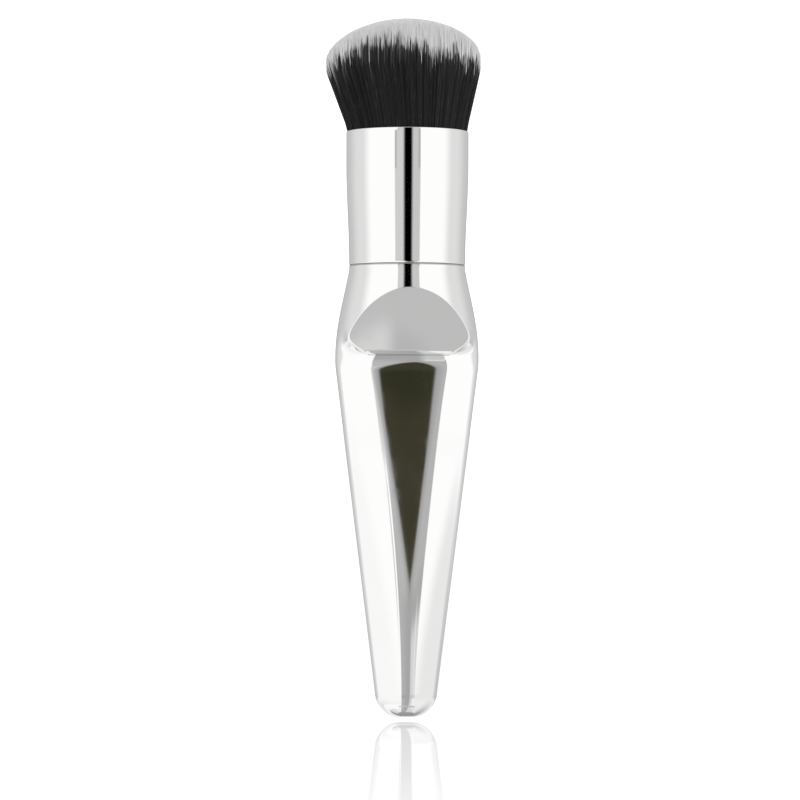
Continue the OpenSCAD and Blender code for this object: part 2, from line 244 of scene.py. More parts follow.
# The panels beside the gap and below its foot
beside_left_at, beside_right_tone, beside_right_at = (-6.6, -5.8, 0.48, 0.62), 0.45, (4.0, 8.0)
rim_tone, rim_at = 0.36, (0.0, 3.5)
below_tone, below_middle_tone, below_middle_at = 0.46, 0.38, (-3.0, 9.0)
below_right_tone, below_right_at = 0.67, (9.5, 12.0)
below_right_top_at, below_top_at = (-8.8, -8.3, *falling), (-8.1, -7.7, *falling)
beside_grey = blend(rise.step(*beside_left_at), beside_right_tone, azimuth.step(*beside_right_at))
beside_grey = blend(rim_tone, beside_grey, (beside - gap_half).step(*rim_at))
below_right = azimuth.step(*below_right_at) * rise.step(*below_right_top_at)
below_grey = blend(below_tone, below_middle_tone, azimuth.step(*below_middle_at))
below_grey = blend(below_grey, below_right_tone, below_right)
# The panels under the crease, on the thumb rest's wall and in the table's mirror
crease_tone_at, crease_at = (9.0, 12.0, 0.38, 0.56), (-17.0, -15.0, -11.0, -10.2)
wall_tone, wall_left_tone, wall_middle_tone, mirror_tone = 0.51, 0.66, 0.46, 0.42
wall_left_at, wall_left_top_at = (-1.0, 5.0, *falling), (-48.7, -48.2, *falling)
wall_middle_at, wall_middle_top_at = (2.0, 6.0, 14.0, 20.0), (-48.8, -48.4, *falling)
wall_left = azimuth.step(*wall_left_at) * rise.step(*wall_left_top_at)
wall_middle = azimuth.within(*wall_middle_at) * rise.step(*wall_middle_top_at)
wall_grey = blend(wall_tone, wall_left_tone, wall_left)
wall_grey = blend(wall_grey, wall_middle_tone, wall_middle)
front = beside_grey
for grey, share in (
    (high_grey, high_part), (below_grey, rise.step(*below_top_at)),
    (azimuth.step(*crease_tone_at), rise.within(*crease_at)), (wall_grey, wall_part), (mirror_tone, bounced),
):
    front = blend(front, grey, share)
tone = blend(tone, front, panels * rise.step(*panel_top_at))
# The tent's floor is dark, and at the rear it reaches higher
ground_tone, ground_at = 0.32, (-80.0, -70.0, *falling)
rear_ground_tone, rear_ground_side_at, rear_ground_at = 0.30, (95.0, 115.0), (-66.0, -54.0, *falling)
tone = blend(tone, ground_tone, rise.step(*ground_at))
tone = blend(tone, rear_ground_tone, side.step(*rear_ground_side_at) * rise.step(*rear_ground_at))
# What shows in the gap is black high up and olive low down, and warmest at its foot
olive_at, olive_shades = (-3.1, -2.8, *falling), (0.0300, 0.0300, 0.0160)
warm_at, warm_shares = (-4.6, -3.9, *falling), (1.5, 1.35, 1.6)
olive, warm = rise.step(*olive_at), rise.step(*warm_at)
tent_colour = joined(tree, "Color", [
    blend(tone, olive * shade * blend(1.0, warmer, warm), gap)
    for shade, warmer in zip(olive_shades, warm_shares)
])
# The eye and the diffuse light see plain white
plain_white = (1.3, 1.3, 1.3, 1)
background = tree.nodes.new("ShaderNodeBackground")
seen = mixed(tree, Wire(tree, path.outputs["Is Glossy Ray"]), plain_white, tent_colour)
plug(tree, seen, background.inputs["Color"])
tree.links.new(background.outputs[0], tree.nodes.new("ShaderNodeOutputWorld").inputs[0])
bpy.context.scene.world = world


# ---- Floor
# White table top, its face set a clear sheet's thickness below the brush's foot, so that the brush seems to
# stand on a clear sheet. Its polished face shows a faint mirror image.
def material_of(name):
    material = bpy.data.materials.new(name)
    material.use_nodes = True
    return material, material.node_tree, material.node_tree.nodes["Principled BSDF"]


reach, sheet = 6.0, 0.0008
table_white, table_glow, table_glow_share = (0.95, 0.95, 0.95, 1), 1.04, 0.85
shine_most, shine_fade = 0.50, 30.0
mirror_rough, mirror_rough_gain, mirror_rough_most = 0.01, 0.35, 0.1
floor_mesh = bpy.data.meshes.new("table_top")
floor_mesh.from_pydata(
    [(-reach, -reach, -sheet), (reach, -reach, -sheet), (reach, reach, -sheet), (-reach, reach, -sheet)],
    [], [(0, 1, 2, 3)],
)
floor = put("table_top", floor_mesh)
floor.visible_glossy = False
material, tree, principled = material_of("table_white")
floor_mesh.materials.append(material)
coordinates = tree.nodes.new("ShaderNodeTexCoord")
length = tree.nodes.new("ShaderNodeVectorMath")
length.operation = "LENGTH"
tree.links.new(coordinates.outputs["Object"], length.inputs[0])
far = Wire(tree, length.outputs["Value"])
shine = (far * far * -shine_fade).math("EXPONENT") * shine_most
matt = tree.nodes.new("ShaderNodeBsdfDiffuse")
matt.inputs["Color"].default_value = table_white
lit = tree.nodes.new("ShaderNodeEmission")
lit.inputs["Strength"].default_value = table_glow
white = tree.nodes.new("ShaderNodeMixShader")
white.inputs["Fac"].default_value = table_glow_share
tree.links.new(matt.outputs[0], white.inputs[1])
tree.links.new(lit.outputs[0], white.inputs[2])
mirror = tree.nodes.new("ShaderNodeBsdfGlossy")
mirror.inputs["Color"].default_value = (1, 1, 1, 1)
blur = (far * mirror_rough_gain).least(mirror_rough_most) + mirror_rough
plug(tree, blur, mirror.inputs["Roughness"])
coated = tree.nodes.new("ShaderNodeMixShader")
plug(tree, shine, coated.inputs["Fac"])
tree.links.new(white.outputs[0], coated.inputs[1])
tree.links.new(mirror.outputs[0], coated.inputs[2])
tree.links.new(coated.outputs[0], tree.nodes["Material Output"].inputs["Surface"])
tree.nodes.remove(principled)


# ---- Handle
# One plastic moulding, chrome plated and polished: a round bulb with a slanted thumb rest
# and a long narrow facet cut in its front, and above the seam a tenon with glue grooves.
# It is hollow for the steel rod that gives the brush its weight.
MM = 0.001
handle_len, bulge_d, shoulder_h, shoulder_share = 100.0, 31.8, 20.8, 1.11
neck_d, neck_band_h, seam_edge_r = 25.7, 0.8, 0.25
butt_d, butt_round_h, butt_flat_d, run_out_r = 12.5, 4.6, 4.4, 22.0
rest_drop, rest_h, rest_slant, rest_reach, rest_belly = 5.3, 14.6, 25.0, 57.0, 4.5
facet_w, facet_butt_w, facet_butt_depth, facet_crown = 18.3, 3.1, 4.1, 5.0
blend_reach, blend_h = 14.0, 6.0
tenon_d, tenon_len, tenon_chamfer = 24.2, 13.0, 0.8
groove_count, groove_w, groove_depth, groove_pitch = 3, 1.6, 0.5, 3.4
core_d, core_drop, rod_hole_d, rod_hole_len = 15.0, 12.0, 6.3, 68.0
edge_soft, corner_soft, top_soft, crease_soft = 0.06, 0.2, 0.03, 0.08
facet_end_h, facet_end_rise, facet_lip_h, facet_lip_rise = 3.8, 0.124, 1.6, 0.042
butt_power, facet_power, facet_most_share, oval_power_gain = 1.8, 1.9, 0.72, 0.8
crown_reach, solver_passes = 80, 30
# The corner's softness changes at these shares of the wall's height at its side tips
soft_shares = (-0.25, 0.25, 0.7, 1.1, 1.8, 3.0)
soft_widths = (edge_soft, corner_soft, corner_soft, corner_soft * 0.5, edge_soft, top_soft)
lead_start, lead_rate, lead_end_h = 1.5, 0.004, 2
neck_r, bulge_r, butt_r, butt_flat_r = neck_d / 2, bulge_d / 2, butt_d / 2, butt_flat_d / 2
neck_z, bulge_z = handle_len - neck_band_h, handle_len - shoulder_h
rest_top_z = handle_len - rest_drop
crease_z = rest_top_z - rest_h
blend_top_z = crease_z + blend_h
arc_mid_r = bulge_r - run_out_r
taper = math.atan2(arc_mid_r - butt_r, bulge_z) + math.asin(
    run_out_r / math.hypot(bulge_z, arc_mid_r - butt_r)
)
run_out_z = bulge_z - run_out_r * math.sin(taper)


def smooth(t):
    t = np.clip(t, 0, 1)
    return t * t * (3 - 2 * t)


def outline_r(z):
    arc = arc_mid_r + np.sqrt(np.maximum(run_out_r**2 - (bulge_z - z) ** 2, 0))
    shoulder = neck_r + (bulge_r - neck_r) * np.sin(
        np.radians(90 * np.clip((neck_z - z) / (neck_z - bulge_z), 0, 1) ** shoulder_share)
    )
    return np.where(z < run_out_z, butt_r + z * math.tan(taper), np.where(z < bulge_z, arc, shoulder))


def butt_part(z):
    q = np.clip(1 - z / butt_round_h, 0, 1)
    r = outline_r(z)
    return (butt_flat_r + (r - butt_flat_r) * np.maximum(1 - q**butt_power, 0) ** (1 / butt_power)) / r


def side_r(z):
    return outline_r(z) * butt_part(z)


crease_depth = float(outline_r(rest_top_z)) - rest_h * math.tan(math.radians(rest_slant))


def facet_depth(z):
    way = np.clip(z / crease_z, 0, 1)
    return (facet_butt_depth + (crease_depth - facet_butt_depth) * way) * butt_part(z)


def facet_half(z):
    way = np.clip(z / crease_z, 0, 1)
    half = (facet_butt_w + (facet_w - facet_butt_w) * way**facet_power) / 2
    return np.minimum(half, facet_most_share * side_r(z))


def crown_r(z):
    return facet_half(z) / math.sin(math.radians(facet_crown))


def facet_sag(z):
    return facet_half(z) ** 2 / (2 * crown_r(z))


def facet_edge(z):
    return np.degrees(np.arctan(facet_half(z) / (facet_depth(z) - facet_sag(z))))


def crowned(f, depth, r):
    """Distance from the axis, in direction f, of a face that bulges a little at that depth."""
    a = np.radians(np.minimum(f, crown_reach))
    t = np.maximum(np.tan(a) ** 2, 1e-9)
    return r * (np.sqrt(1 + 2 * depth * t / r) - 1) / (t * np.cos(a))


def oval(f, z):
    """The full front section through the facet's edges."""
    n = 2 + oval_power_gain * smooth(z / crease_z)
    deep = (facet_depth(z) - facet_sag(z)) / (1 - (facet_half(z) / side_r(z)) ** n) ** (1 / n)
    a = np.radians(np.minimum(f, 90))
    return ((np.sin(a) / side_r(z)) ** n + (np.maximum(np.cos(a), 0) / deep) ** n) ** (-1 / n)


def wall(f, z):
    depth = crease_depth + np.maximum(z - crease_z, 0) * math.tan(math.radians(rest_slant))
    return crowned(f, depth, crown_r(crease_z))


def edge_height(f):
    """Height at which the slanted wall leaves the bulb in direction f."""
    z = np.full_like(f, rest_top_z)
    for _ in range(solver_passes):
        r, a = outline_r(z), np.radians(f)
        depth = r * np.cos(a) + (r * np.sin(a)) ** 2 / (2 * crown_r(crease_z))
        z = crease_z + (depth - crease_depth) / math.tan(math.radians(rest_slant))
    return z


corner_z = float(edge_height(np.array([rest_reach]))[0])


def corner_angle(s):
    """Direction of the slanted wall's lower corner, from the crease to the side tips."""
    crease_f = facet_edge(crease_z)
    return crease_f + (rest_reach - crease_f) * s + rest_belly * np.sin(np.pi * s)


def bulb(f, z):
    """The moulding without its flat cuts: full sides below, round shoulder above."""
    s = np.clip((z - crease_z) / (corner_z - crease_z), 0, 1)
    corner_f = corner_angle(s)
    low, high = oval(corner_f, z), side_r(z)
    meet = np.clip((wall(corner_f, z) - low) / np.maximum(high - low, 1e-6), 0, 1)
    meet = np.where(s >= 1, 1.0, np.where(z <= crease_z, 0.0, meet))
    rise = smooth((z - crease_z) / (blend_top_z - crease_z))
    share = meet + (rise - meet) * smooth((f - corner_f) / blend_reach)
    return np.where(f >= 90, side_r(z), oval(f, z) + (side_r(z) - oval(f, z)) * share)


def soft_min(a, b, width):
    near = np.maximum(width - np.abs(a - b), 0) / width
    return np.minimum(a, b) - near * near * width / 4


def skin(f, z):
    """Distance of the moulding's skin from the axis, with all its edges a little rounded."""
    z_low = np.minimum(z, crease_z)
    facet = facet_depth(z_low)
    for height, lift in ((facet_end_h, facet_end_rise), (facet_lip_h, facet_lip_rise)):
        facet = facet + lift * np.clip((z_low - crease_z + height) / height, 0, 1) ** 2
        facet = facet + np.maximum(z - crease_z, 0) * 2 * lift / height
    slant = crease_depth + (z - crease_z) * math.tan(math.radians(rest_slant))
    depth = -soft_min(-facet, -slant, crease_soft)
    width = np.interp(z, crease_z + (corner_z - crease_z) * np.array(soft_shares), soft_widths)
    # In front of the facet's edges the bulb's skin is led away from the facet
    corner_f = corner_angle(np.clip((z - crease_z) / (corner_z - crease_z), 0, 1))
    inside = np.maximum(np.where(z < crease_z, facet_edge(z_low), corner_f) - f - lead_start, 0)
    away = lead_rate * inside**2 * (1 - smooth((z - crease_z) / lead_end_h))
    return soft_min(crowned(f, depth, crown_r(z_low)), bulb(f, z) + away, width)


def spread(points, count):
    """That many even steps through a list of break points."""
    return np.interp(np.linspace(0, len(points) - 1, count), range(len(points)), points)


# Columns of the half ring, closest together at the facet's edge: on the facet, beside it and behind
inner = np.r_[spread([0, 0.8], 13), 0.85, 0.89, 0.92, 0.945, 0.965, 0.98, 0.992, 1]
cheek = np.r_[0.006, 0.014, 0.025, 0.04, 0.06, 0.085, 0.115, 0.15, 0.19, np.linspace(0.235, 1, 20)]
back = np.linspace(0, 1, 31)[1:]


def columns(edge):
    """Angles of the half ring from the front's middle by the facet's edge to the back."""
    edge = np.atleast_1d(edge)[:, None]
    rear_half = np.repeat(90 + 90 * back[None], len(edge), 0)
    return np.hstack([edge * inner, edge + (90 - edge) * cheek, rear_half])


def whole(f, r, z):
    """Rings all the way round, from half rings."""
    x, y = r * np.sin(np.radians(f)), -r * np.cos(np.radians(f))
    half = np.stack([x, y, np.broadcast_to(z, f.shape)], -1)
    other = half[:, -2:0:-1] * np.array([-1, 1, 1])
    return np.concatenate([half, other], 1)


# Rows from the butt to the crease, closest together under the crease
below_crease = [3, 2.6, 2.3, 2, 1.75, 1.5, 1.3, 1.1, 0.9, 0.7, 0.5, 0.35, 0.24, 0.16, 0.1, 0.05, 0]
heights = np.concatenate([
    butt_round_h * (1 - np.cos(np.radians(np.linspace(0, 90, 19)[:-1]))),
    np.linspace(butt_round_h, crease_z - below_crease[0], 118)[:-1],
    crease_z - np.array(below_crease),
])
f = columns(facet_edge(heights))
z = np.repeat(heights[:, None], f.shape[1], 1)
rings = [whole(f, skin(f, z), z)]

# Rows of the thumb rest, which end in its arched upper edge
shares = np.r_[0.004, 0.008, 0.013, 0.02, 0.03, 0.042, np.linspace(0.06, 0.94, 34),
               0.957, 0.97, 0.98, 0.987, 0.992, 0.996, 1][:, None]
f = columns(corner_angle(shares)[:, 0])
edge_z = np.where(f[-1] <= rest_reach, edge_height(np.minimum(f[-1], rest_reach)), corner_z)
z = crease_z + (edge_z - crease_z) * shares
rings.append(whole(f, skin(f, z), z))

# Rows of the shoulder, from that edge to the neck
shares = np.r_[0.005, 0.012, 0.021, 0.032, 0.047, 0.067, 0.092, np.linspace(0.12, 1, 44)][:, None]
f = np.repeat(f[-1:], len(shares), 0)
z = edge_z + (neck_z - edge_z) * shares
rings.append(whole(f, skin(f, z), z))

# The turned part: the seam's rounded edge, the tenon with its grooves, and the core
round_part = []
for a in np.radians(np.linspace(0, 90, 7)):
    inwards, downwards = seam_edge_r * (1 - math.cos(a)), seam_edge_r * (1 - math.sin(a))
    round_part.append((neck_r - inwards, handle_len - downwards))
tenon_r, tenon_top = tenon_d / 2, handle_len + tenon_len
round_part.append((tenon_r, handle_len))
for k in range(1, groove_count + 1):
    low = handle_len + k * groove_pitch - groove_pitch / 2
    round_part += [(tenon_r, low), (tenon_r - groove_depth, low),
                   (tenon_r - groove_depth, low + groove_w), (tenon_r, low + groove_w)]
plated_rows = sum(len(r) for r in rings) + len(round_part)
core_r, rod_hole_r, core_floor = core_d / 2, rod_hole_d / 2, handle_len - core_drop
round_part += [(tenon_r, tenon_top - tenon_chamfer), (tenon_r - tenon_chamfer, tenon_top),
               (core_r, tenon_top), (core_r, (tenon_top + core_floor) / 2), (core_r, core_floor),
               (rod_hole_r, core_floor), (rod_hole_r, core_floor - rod_hole_len / 2),
               (rod_hole_r, core_floor - rod_hole_len)]
round_part = np.array(round_part)
f = np.repeat(f[-1:], len(round_part), 0)
round_r, round_z = np.repeat(round_part[:, :1], f.shape[1], 1), np.repeat(round_part[:, 1:], f.shape[1], 1)
rings.append(whole(f, round_r, round_z))


def shell(name, rings, closed_loop=False, sharp=32):
    """A skin through rings of points in millimetres, with its ends closed or joined to each other."""
    rows, cols = rings.shape[:2]
    points = rings.reshape(-1, 3)
    j, i = np.meshgrid(np.arange(rows if closed_loop else rows - 1), np.arange(cols), indexing="ij")
    a, b = j * cols + i, j * cols + (i + 1) % cols
    c, d = (b + cols) % (rows * cols), (a + cols) % (rows * cols)
    faces = np.stack([a, b, c, d], -1).reshape(-1, 4).tolist()
    if not closed_loop:
        low, high = len(points), len(points) + 1
        points = np.vstack([points, rings[0].mean(0), rings[-1].mean(0)])
        faces += [(low, (k + 1) % cols, k) for k in range(cols)]
        top = (rows - 1) * cols
        faces += [(high, top + k, top + (k + 1) % cols) for k in range(cols)]
    mesh = bpy.data.meshes.new(name)
    mesh.from_pydata((points * MM).tolist(), [], faces)
    mesh.shade_smooth()
    mesh.set_sharp_from_angle(angle=math.radians(sharp))
    return put(name, mesh)


handle = shell("plated_handle", np.concatenate(rings))
ring_size = rings[0].shape[1]


def group_of(name, inputs, outputs):
    """An empty shader node group with its named sockets, and its two end nodes."""
    tree = bpy.data.node_groups.new(name, "ShaderNodeTree")
    for label, kind, value in inputs:
        socket = tree.interface.new_socket(label, in_out="INPUT", socket_type=kind)
        if value is not None:
            socket.default_value = value
    for label, kind in outputs:
        tree.interface.new_socket(label, in_out="OUTPUT", socket_type=kind)
    return tree, tree.nodes.new("NodeGroupInput"), tree.nodes.new("NodeGroupOutput")


def noise(tree, vector, scale, detail=2.0, roughness=0.5, stretch=None):
    """A noise value on a vector, stretched along the axes if that is wanted."""
    if stretch is not None:
        mapping = tree.nodes.new("ShaderNodeMapping")
        mapping.inputs["Scale"].default_value = stretch
        tree.links.new(vector, mapping.inputs["Vector"])
        vector = mapping.outputs["Vector"]
    node = tree.nodes.new("ShaderNodeTexNoise")
    node.inputs["Detail"].default_value = detail
    node.inputs["Roughness"].default_value = roughness
    plug(tree, scale, node.inputs["Scale"])
    tree.links.new(vector, node.inputs["Vector"])
    return Wire(tree, node.outputs["Fac"])


# What polished plating shows: a slow waviness, faint finger haze and hairlines, and in its base colour
# painted shade in the seam's groove and the crease
finish_and_shade, ends_in, ends_out = group_of(
    "plating_finish_and_shade",
    [("Vector", "NodeSocketVector", None), ("Polish", "NodeSocketFloat", 0.03),
     ("Haze", "NodeSocketFloat", 0.05), ("Waviness", "NodeSocketFloat", 1.0)],
    [("Roughness", "NodeSocketFloat"), ("Tint", "NodeSocketColor"), ("Height", "NodeSocketFloat")],
)
vector = ends_in.outputs["Vector"]
haze_scale, haze_at, fine_scale, fine_least, fine_gain = 95.0, (0.52, 0.78), 900.0, 0.4, 0.8
hairline_stretch, hairline_at, hairline_rough = (2600, 2600, 90), (0.66, 0.74), 0.02
wave_scale, wave_h, ripple_scale, ripple_h = 70.0, 0.000012, 260.0, 0.0000012
clean_shade, haze_loss, hairline_loss, plating_tint = 0.985, 0.012, 0.01, (1.0, 1.0, 0.994)
haze = noise(finish_and_shade, vector, haze_scale, 3.0, 0.55).step(*haze_at)
fine = noise(finish_and_shade, vector, fine_scale, 2.0, 0.6)
lines = noise(finish_and_shade, vector, 1.0, 2.0, 0.5, stretch=hairline_stretch).step(*hairline_at)
marked = haze * Wire(finish_and_shade, ends_in.outputs["Haze"]) * (fine * fine_gain + fine_least)
rough = marked + lines * hairline_rough + Wire(finish_and_shade, ends_in.outputs["Polish"])
plug(finish_and_shade, rough, ends_out.inputs["Roughness"])
waves = noise(finish_and_shade, vector, wave_scale, 1.0, 0.4) * wave_h
waves = waves + noise(finish_and_shade, vector, ripple_scale, 1.0, 0.4) * ripple_h
plug(finish_and_shade, waves * Wire(finish_and_shade, ends_in.outputs["Waviness"]), ends_out.inputs["Height"])
shade = clean_shade - haze * haze_loss - lines * hairline_loss
# Painted shade: the base colour is darker in the groove of the seam, and along a fine line in the crease
seam_low, seam_high, seam_shade_loss = (handle_len - 0.34) * MM, (handle_len + 0.02) * MM, 0.45
seam_low_soft, seam_high_soft = 0.08 * MM, 0.06 * MM
crease_shade_loss, crease_line_drop, crease_line_at = 0.4, 0.12, (0.00006, 0.00016, *falling)
crease_half_at, crease_back_at = (0.0088, 0.0092, *falling), (-0.004, -0.003, *falling)
place_x, place_y, place_z = parts(finish_and_shade, vector)
# Painted shade in the seam's groove
seam_shade_mask = place_z.step(seam_low - seam_low_soft, seam_low)
seam_shade_mask = seam_shade_mask * place_z.step(seam_high, seam_high + seam_high_soft, *falling)
shade = shade * (1.0 - seam_shade_mask * seam_shade_loss)
# Painted shade: a fine dark line along the crease under the thumb rest's wall
crease_shade_line = (place_z - (crease_z - crease_line_drop) * MM).math("ABSOLUTE").step(*crease_line_at)
crease_shade_line = crease_shade_line * place_x.math("ABSOLUTE").step(*crease_half_at)
crease_shade_line = crease_shade_line * place_y.step(*crease_back_at)
shade = shade * (1.0 - crease_shade_line * crease_shade_loss)
plug(finish_and_shade, joined(finish_and_shade, "Color", [shade * share for share in plating_tint]), ends_out.inputs["Tint"])


def plated(name, polish, haze, waviness):
    """Chrome plating, polished: a metal skin with the finish above, which carries painted shade in the seam's
    groove and the crease.
    """
    material, tree, principled = material_of(name)
    use = tree.nodes.new("ShaderNodeGroup")
    use.node_tree = finish_and_shade
    tree.links.new(tree.nodes.new("ShaderNodeTexCoord").outputs["Object"], use.inputs["Vector"])
    for label, value in (("Polish", polish), ("Haze", haze), ("Waviness", waviness)):
        use.inputs[label].default_value = value
    bump = tree.nodes.new("ShaderNodeBump")
    bump.inputs["Distance"].default_value = 1.0
    bump.inputs["Strength"].default_value = 1.0
    tree.links.new(use.outputs["Height"], bump.inputs["Height"])
    tree.links.new(bump.outputs["Normal"], principled.inputs["Normal"])
    tree.links.new(use.outputs["Tint"], principled.inputs["Base Color"])
    tree.links.new(use.outputs["Roughness"], principled.inputs["Roughness"])
    principled.inputs["Metallic"].default_value = 1.0
    return material


handle.data.materials.append(plated("chrome_on_plastic", polish=0.035, haze=0.05, waviness=0.2))

# Bare plastic where the plating was masked off: tenon's end and the core
plastic_grain, plastic_rough, plastic_rough_gain = 1400.0, 0.42, 0.2
plastic_dark, plastic_light = (0.60, 0.59, 0.56, 1), (0.68, 0.67, 0.64, 1)
material, tree, principled = material_of("bare_plastic")
place = tree.nodes.new("ShaderNodeTexCoord").outputs["Object"]
grain = noise(tree, place, plastic_grain, 3.0, 0.6)
plug(tree, mixed(tree, grain, plastic_dark, plastic_light), principled.inputs["Base Color"])
plug(tree, grain * plastic_rough_gain + plastic_rough, principled.inputs["Roughness"])
handle.data.materials.append(material)
rows = np.arange(len(handle.data.polygons)) // ring_size
indices = ((rows >= plated_rows) & (rows < sum(len(r) for r in rings) - 1)).astype(np.int32)
handle.data.polygons.foreach_set("material_index", indices)
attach(handle, "root")
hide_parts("handle")


# ---- Ferrule
# A thin tube drawn from one piece of metal, plated and polished like the handle. It narrows
# to the seam in a soft S curve, and its rim is rolled so that it doesn't cut the hair.
ferrule_len, ferrule_d, ferrule_wall = 29.5, 27.2, 0.4
ferrule_taper_h, ferrule_columns = 23.0, 192
ferrule_r, lip_r = ferrule_d / 2, ferrule_wall / 2
rim_z = handle_len + ferrule_len


def foot_curve(inset, count):
    """S curve from the foot to the straight part, without the foot's own corner."""
    t = np.linspace(0, 1, count + 1)[1:]
    return np.stack([neck_r + (ferrule_r - neck_r) * smooth(t) - inset, handle_len + t * ferrule_taper_h], -1)


def climb(start, end, count):
    """Points on the straight line between two points, without its ends."""
    return np.linspace(start, end, count + 2)[1:-1]


a = np.radians(np.linspace(-90, 0, 6))
foot = np.stack([neck_r - lip_r + lip_r * np.cos(a), handle_len + lip_r + lip_r * np.sin(a)], -1)
a = np.radians(np.linspace(0, 180, 13))
rim = np.stack([ferrule_r - lip_r + lip_r * np.cos(a), rim_z - lip_r + lip_r * np.sin(a)], -1)
outside, inside = foot_curve(0, 40), foot_curve(ferrule_wall, 20)[::-1]
bore_foot = np.array([neck_r - ferrule_wall, handle_len])
section = np.vstack([
    foot, outside, climb(outside[-1], rim[0], 9), rim, climb(rim[-1], inside[0], 5), inside, bore_foot[None],
])
around = np.radians(np.arange(ferrule_columns) * 360 / ferrule_columns)
rings = np.stack([
    section[:, :1] * np.sin(around), -section[:, :1] * np.cos(around),
    np.repeat(section[:, 1:], len(around), 1),
], -1)
ferrule = shell("ferrule_tube", rings, closed_loop=True)
ferrule.data.materials.append(plated("chrome_on_metal", polish=0.03, haze=0.035, waviness=0.12))
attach(ferrule, "root")
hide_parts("ferrule")


# ---- Hair
# Some seventy thousand fine synthetic filaments, tied at the root and fanned out of the ferrule,
# cut to a slanted dome. They are black, and dipped in a pale grey dye at their tips.
hair_out, tuft_d, flare_h, tuft_lean = 24.0, 34.4, 13.6, 1.0
top_slant_h, top_side_h, top_crown_h, shoulder_round_h, hair_clear = 5.0, 0.3, 5.2, 1.6, 0.12
filament_d, filament_tip_share, filament_taper_h = 0.09, 0.4, 2.4
filament_total, outer_first = 68400, 56400
root_hidden, hair_cells, lock_cells = 0.8, 2048.0, 3.0
hair_chart, chart_least, chart_most = 30.0, 0.0005, 0.9995
rim_r, tuft_r = ferrule_r - ferrule_wall - hair_clear, tuft_d / 2


class Flow:
    """A Geometry Nodes tree that is put together in the order of its work."""

    def __init__(self, name, inputs):
        self.tree = bpy.data.node_groups.new(name, "GeometryNodeTree")
        self.tree.interface.new_socket("Geometry", in_out="OUTPUT", socket_type="NodeSocketGeometry")
        self.keys = {}
        for label, value in inputs.items():
            kind = "NodeSocketInt" if isinstance(value, int) else "NodeSocketFloat"
            socket = self.tree.interface.new_socket(label, in_out="INPUT", socket_type=kind)
            socket.default_value = value
            self.keys[label] = socket.identifier
        self.start = self.tree.nodes.new("NodeGroupInput")

    def given(self, label):
        return Wire(self.tree, self.start.outputs[label])

    def node(self, kind, settings=None, **inputs):
        made = self.tree.nodes.new(kind)
        for key, value in (settings or {}).items():
            setattr(made, key, value)
        for key, item in inputs.items():
            plug(self.tree, item, made.inputs[key.replace("_", " ")])
        return made

    def out(self, made, name=0):
        return Wire(self.tree, made.outputs[name])

    def finish(self, geometry, material):
        real = self.node("GeometryNodeRealizeInstances", Geometry=geometry)
        dressed = self.node("GeometryNodeSetMaterial", Geometry=self.out(real), Material=material)
        end = self.tree.nodes.new("NodeGroupOutput")
        self.tree.links.new(dressed.outputs[0], end.inputs[0])

    def grow(self, name, **values):
        """Runs the tree once with these inputs and keeps its result as a plain mesh."""
        holder = put(name + "_nodes", bpy.data.meshes.new(name + "_nodes"))
        modifier = holder.modifiers.new("grow", "NODES")
        modifier.node_group = self.tree
        for label, value in values.items():
            modifier[self.keys[label.replace("_", " ")]] = value
        ready = holder.evaluated_get(bpy.context.evaluated_depsgraph_get())
        mesh = bpy.data.meshes.new_from_object(ready)
        mesh.name = name
        holder.modifiers.remove(modifier)
        bpy.data.objects.remove(holder)
        return put(name, mesh)


# Dye and colour, read from the hair's own chart: u goes round the tuft, v down from its top
hair_material, tree, principled = material_of("dyed_filament")
chart = tree.nodes.new("ShaderNodeUVMap")
chart.uv_map = "OFBake"
across, down, _ = parts(tree, chart.outputs[0])
down = down * hair_chart
cell = (across * hair_cells).math("FLOOR")
own, lock = cell * 0.731, (across * (hair_cells / lock_cells)).math("FLOOR") * 0.617


def chance(offset, number=own):
    """A random value for each filament, or for a lock of neighbours."""
    node = tree.nodes.new("ShaderNodeTexWhiteNoise")
    node.noise_dimensions = "1D"
    plug(tree, number + offset, node.inputs["W"])
    return Wire(tree, node.outputs["Value"])


# Depth of the dye in millimetres round the tuft, u = 0.5 at the front
dye_depths = [(0.0, 4.4), (0.14, 4.2), (0.24, 4.5), (0.303, 4.8), (0.361, 4.4), (0.447, 4.0),
              (0.504, 4.8), (0.55, 5.8), (0.612, 5.4), (0.685, 4.5), (0.78, 4.6), (0.9, 4.0), (1.0, 4.4)]
depth_scale = 10.0
curve = tree.nodes.new("ShaderNodeFloatCurve")
points = curve.mapping.curves[0].points
for k, (u, depth) in enumerate(dye_depths):
    if k == 0 or k == len(dye_depths) - 1:
        points[0 if k == 0 else -1].location = (u, depth / depth_scale)
    else:
        points.new(u, depth / depth_scale)
curve.mapping.update()
plug(tree, across, curve.inputs["Value"])
dye = Wire(tree, curve.outputs[0]) * depth_scale
# Each filament takes the dye to its own depth, a few much deeper or less deep, and locks likewise
dye_spread, deep_rare, deep_more, shallow_rare, shallow_less = 3.2, 16.0, 3.5, 12.0, 2.5
lock_spread, lock_rare, lock_more, dye_least, dye_edge = 1.2, 14.0, 2.0, 2.2, (-0.6, 0.6)
dye = dye + (chance(0.0) - 0.5) * dye_spread + chance(11.3) ** deep_rare * deep_more
dye = dye - chance(23.7) ** shallow_rare * shallow_less
dye = dye + (chance(5.1, lock) - 0.5) * lock_spread + chance(17.9, lock) ** lock_rare * lock_more
dark = (down - dye.most(dye_least)).step(*dye_edge)
streak_across, streak_along, streak_at, streak_gain = 3.71, 0.22, (0.66, 0.86), 0.05
black, black_spread, pale, pale_spread, hair_tint = 0.011, 0.006, 0.73, 0.05, (1.0, 1.0, 1.01)
half_dyed_rare, half_dyed_at = 5.0, (0.0, 6.0, 0.3, 0.0)
hair_rough, hair_rough_spread, hair_specular = 0.42, 0.16, 0.25
streak = tree.nodes.new("ShaderNodeTexNoise")
